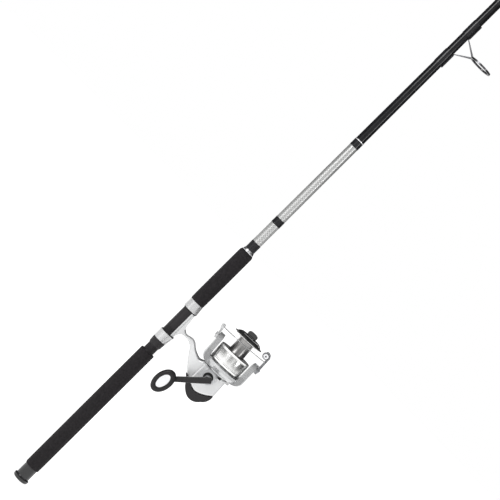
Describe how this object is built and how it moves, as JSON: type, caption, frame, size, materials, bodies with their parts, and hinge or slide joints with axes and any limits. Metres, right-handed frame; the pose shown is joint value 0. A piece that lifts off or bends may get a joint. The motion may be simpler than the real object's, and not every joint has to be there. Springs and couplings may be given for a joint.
{
  "type": "fishing rod and spinning reel",
  "caption": "Take-apart spinning rod with foam grips, screw reel seat and wire guides, fitted with a front-drag spinning reel with crank handle, rotor, flip bail and oscillating spool",
  "frame": {"origin": "centre of the flat end of the rod's butt cap", "axes": "+Z along the rod from the butt to the tip, +X towards the side that the reel and the line guides are on, and the reel's handle is on the -Y side"},
  "size_m": [0.1843, 0.1414, 2.438],
  "materials": {
    "gloss_black": "gloss",
    "eva_foam": "matte",
    "check_silver": "satin",
    "blank_black": "gloss",
    "glass_fibre": "satin",
    "thread_black": "gloss",
    "trim_silver": "satin",
    "seat_charcoal": "matte",
    "hood_silver": "satin",
    "liner_black": "matte",
    "guide_wire": "polished",
    "guide_ceramic": "polished",
    "body_silver": "satin",
    "screw_steel": "satin",
    "bumper_black": "satin",
    "bearing_steel": "polished",
    "retainer_grey": "satin",
    "seal_rubber": "matte",
    "shaft_steel": "polished",
    "lever_grey": "satin",
    "pinion_brass": "satin",
    "gear_zinc": "satin",
    "crank_black": "gloss",
    "knob_black": "satin",
    "plate_silver": "satin",
    "gear_acetal": "satin",
    "rotor_silver": "satin",
    "bail_grey": "satin",
    "roller_chrome": "polished",
    "wire_steel": "polished",
    "spool_aluminium": "polished",
    "washer_felt": "matte",
    "drag_black": "gloss"
  },
  "bodies": {
    "rod_and_reel": {"butt_cap": "gloss_black", "rear_grip": "eva_foam", "foregrip": "eva_foam", "winding_check": "check_silver", "blank_butt": "blank_black", "ferrule_spigot": "glass_fibre", "trim_wraps": "thread_black", "trim_ring": "trim_silver", "seat_barrel": "seat_charcoal", "fixed_hood": "hood_silver", "fixed_hood_liner": "liner_black", "stripper_guide_frame": "guide_wire", "stripper_guide_ring": "guide_ceramic", "stripper_guide_wraps": "thread_black", "reel_body": "body_silver", "side_cover": "body_silver", "side_cover_screws": "screw_steel", "rear_cover": "bumper_black", "handle_bearings": "bearing_steel", "bearing_retainer": "retainer_grey", "handle_seal": "seal_rubber", "side_cap": "gloss_black", "pinion_bearing": "bearing_steel", "anti_reverse_clutch": "bearing_steel", "slider_guide_rod": "shaft_steel"},
    "seat_hood": {"sliding_hood": "hood_silver", "sliding_hood_liner": "liner_black"},
    "lock_nut": {"seat_lock_nut": "seat_charcoal"},
    "tip_section": {"blank_tip": "blank_black", "tip_guide_1_frame": "guide_wire", "tip_guide_2_frame": "guide_wire", "tip_guide_3_frame": "guide_wire", "tip_guide_4_frame": "guide_wire", "tip_guide_5_frame": "guide_wire", "tip_top": "guide_wire", "tip_guide_rings": "guide_ceramic", "tip_wraps": "thread_black"},
    "crank": {"drive_gear": "gear_zinc", "crank_shank": "shaft_steel", "crank_arm": "crank_black", "knob_post": "shaft_steel"},
    "knob": {"handle_knob": "knob_black", "knob_end_cap": "plate_silver"},
    "rotor": {"rotor": "rotor_silver", "pinion_gear": "pinion_brass", "rotor_nut": "pinion_brass", "bail_pivot_screws": "screw_steel"},
    "oscillation": {"oscillation_gear": "gear_acetal"},
    "bail": {"bail_arm": "bail_grey", "bail_holder": "body_silver", "bail_wire": "wire_steel"},
    "roller": {"line_roller": "roller_chrome"},
    "spool_shaft": {"main_shaft": "shaft_steel", "oscillation_slider": "gear_zinc"},
    "spool": {"spool": "spool_aluminium", "drag_washers": "washer_felt", "drag_cap": "drag_black"},
    "drag_adjuster": {"drag_knob": "drag_black"},
    "switch": {"anti_reverse_lever": "lever_grey"}
  },
  "joints": [
    {"name": "seat_hood_slide", "type": "slide", "parent": "rod_and_reel", "child": "seat_hood", "axis": [0, 0, -1], "range_m": [0, 0.012]},
    {"name": "lock_nut_turn", "type": "hinge", "parent": "seat_hood", "child": "lock_nut", "pos_m": [0, 0, 0.354], "axis": [0, 0, 1], "range_deg": [0, 1728.1]},
    {"name": "ferrule_pull", "type": "slide", "parent": "rod_and_reel", "child": "tip_section", "axis": [0, 0, 1], "range_m": [0, 0.08]},
    {"name": "crank_turn", "type": "hinge", "parent": "rod_and_reel", "child": "crank", "pos_m": [0.1095, -0.04, 0.377], "axis": [0, 1, 0], "continuous": true},
    {"name": "knob_spin", "type": "hinge", "parent": "crank", "child": "knob", "pos_m": [0.05529, -0.085, 0.32663], "axis": [0, 1, 0], "continuous": true},
    {"name": "rotor_turn", "type": "hinge", "parent": "rod_and_reel", "child": "rotor", "pos_m": [0.1168, 0, 0.4], "axis": [-0.0419, 0, 0.9991], "continuous": true},
    {"name": "oscillation_turn", "type": "hinge", "parent": "rod_and_reel", "child": "oscillation", "pos_m": [0.11261, 0, 0.36049], "axis": [0, 1, 0], "continuous": true},
    {"name": "bail_flip", "type": "hinge", "parent": "rotor", "child": "bail", "pos_m": [0.11494, 0, 0.44446], "axis": [-0.9991, 0, -0.0419], "range_deg": [0, 105]},
    {"name": "line_roller_spin", "type": "hinge", "parent": "bail", "child": "roller", "pos_m": [0.15666, 0, 0.47574], "axis": [0, 1, 0], "continuous": true},
    {"name": "spool_stroke", "type": "slide", "parent": "rod_and_reel", "child": "spool_shaft", "axis": [-0.0419, 0, 0.9991], "range_m": [0, 0.018]},
    {"name": "spool_drag_slip", "type": "hinge", "parent": "spool_shaft", "child": "spool", "pos_m": [0.11471, 0, 0.44996], "axis": [-0.0419, 0, 0.9991], "continuous": true},
    {"name": "drag_knob_turn", "type": "hinge", "parent": "spool_shaft", "child": "drag_adjuster", "pos_m": [0.11324, 0, 0.48492], "axis": [-0.0419, 0, 0.9991], "continuous": true},
    {"name": "anti_reverse_switch", "type": "hinge", "parent": "rod_and_reel", "child": "switch", "pos_m": [0.139, 0, 0.3912], "axis": [1, 0, 0], "range_deg": [0, 25]}
  ],
  "couplings": [
    {"joint": "lock_nut_turn", "follows": "seat_hood_slide", "rad_per_m": 2513.3},
    {"joint": "rotor_turn", "follows": "crank_turn", "ratio": 4.25},
    {"joint": "oscillation_turn", "follows": "crank_turn", "ratio": -0.4}
  ]
}
